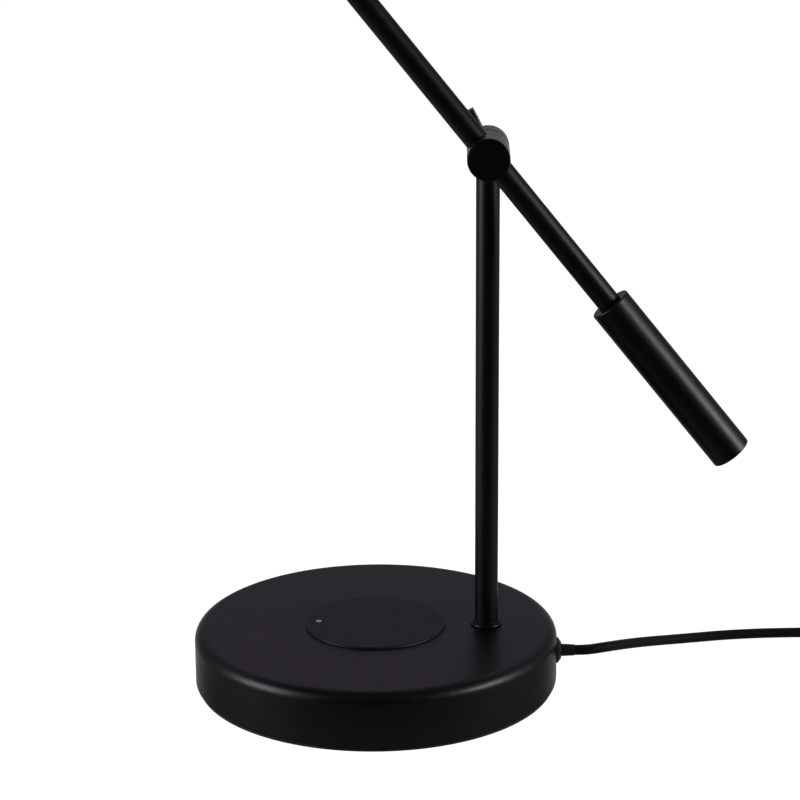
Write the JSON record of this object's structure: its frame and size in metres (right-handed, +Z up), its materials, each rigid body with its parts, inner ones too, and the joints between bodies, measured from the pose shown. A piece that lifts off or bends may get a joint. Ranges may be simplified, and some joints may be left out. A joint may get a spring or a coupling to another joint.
{
  "type": "counterweight balance desk lamp",
  "caption": "Black desk lamp with a round charging base, a post with a clamped pivot, a long arm with a cylindrical counterweight, and a hinged metal shade.",
  "frame": {"origin": "centre of the base's underside, on the table", "axes": "+Z up, +X from the base's centre towards the post and the cord's outlet, -Y towards the viewer"},
  "size_m": [0.5679, 0.2616, 0.5354],
  "materials": {
    "black_paint": "satin black powder coat",
    "soft_touch": "soft-touch black",
    "black_plastic": "fine moulded texture",
    "zinc_steel": "zinc plated",
    "iron": "as cast",
    "foot_rubber": "matte",
    "copper": "enamelled wire",
    "ferrite": "matte",
    "circuit_board": "solder mask",
    "components": "moulded",
    "light_lens": "clear lens",
    "porcelain": "glazed",
    "brass": "plain",
    "nickel": "nickel plated",
    "bulb_white": "smooth",
    "bulb_glass": "frosted",
    "cord_jacket": "flexible jacket, satin",
    "wire_jacket": "smooth"
  },
  "bodies": {
    "stand": {"base_shell": "black_paint", "shell_pillars": "zinc_steel", "base_weight": "iron", "weight_screws": "zinc_steel", "base_plate": "zinc_steel", "plate_screws": "zinc_steel", "foot_pad": "foot_rubber", "charger_cover": "soft_touch", "charger_tub": "black_plastic", "charging_coil": "copper", "ferrite_disc": "ferrite", "charger_board": "circuit_board", "board_components": "components", "charger_screws": "zinc_steel", "status_light": "light_lens", "supply_case": "black_plastic", "supply_lid": "black_plastic", "supply_board": "circuit_board", "post": "black_paint", "post_collar": "black_paint", "post_foot_insert": "zinc_steel", "post_nipple": "zinc_steel", "post_lock_washer": "zinc_steel", "post_nut": "zinc_steel", "post_top_insert": "zinc_steel", "post_top_nipple": "zinc_steel", "post_wire": "wire_jacket", "pivot_rear_half": "black_paint", "cord_gland": "black_plastic", "inner_cord": "cord_jacket", "cord_lead": "cord_jacket", "cord_coil": "cord_jacket", "cord_ties": "black_plastic", "plug_body": "black_plastic", "plug_blades": "brass"},
    "arm": {"pivot_front_half": "black_paint", "pivot_stud": "zinc_steel", "pivot_friction_washer": "black_plastic", "pivot_washers": "zinc_steel", "arm_tube": "black_paint", "arm_wire": "wire_jacket", "counterweight": "black_paint", "arm_grub_screws": "zinc_steel", "hinge_front_half": "black_paint", "hinge_stud": "zinc_steel", "hinge_friction_washer": "black_plastic", "hinge_washers": "zinc_steel"},
    "pivot_wing": {"pivot_wing_nut": "black_paint"},
    "hinge_wing": {"hinge_wing_nut": "black_paint"},
    "head": {"hinge_rear_half": "black_paint", "neck_tube": "black_paint", "neck_nipple": "zinc_steel", "neck_nut": "zinc_steel", "head_wire": "wire_jacket", "socket_cup": "black_paint", "lamp_socket": "porcelain", "socket_contacts": "brass", "shade_ring": "black_plastic", "shade": "black_paint", "bulb_cap": "nickel", "bulb_body": "bulb_white", "bulb_globe": "bulb_glass"},
    "switch": {"switch_knob": "black_plastic"}
  },
  "joints": [
    {"name": "arm_tilt", "type": "hinge", "parent": "stand", "child": "arm", "pos_m": [0.058, 0, 0.2836], "axis": [0, 1, 0], "range_deg": [-60, 25]},
    {"name": "head_tilt", "type": "hinge", "parent": "arm", "child": "head", "pos_m": [-0.13792, 0, 0.52641], "axis": [0, 1, 0], "range_deg": [-4, 85]},
    {"name": "pivot_wing_turn", "type": "hinge", "parent": "arm", "child": "pivot_wing", "pos_m": [0.058, 0, 0.2836], "axis": [0, 1, 0], "range_deg": [-180, 180]},
    {"name": "hinge_wing_turn", "type": "hinge", "parent": "arm", "child": "hinge_wing", "pos_m": [-0.13792, 0, 0.52641], "axis": [0, 1, 0], "range_deg": [-180, 180]},
    {"name": "switch_turn", "type": "hinge", "parent": "head", "child": "switch", "pos_m": [-0.13792, -0.02, 0.47041], "axis": [0, 1, 0], "range_deg": [-90, 90]}
  ]
}
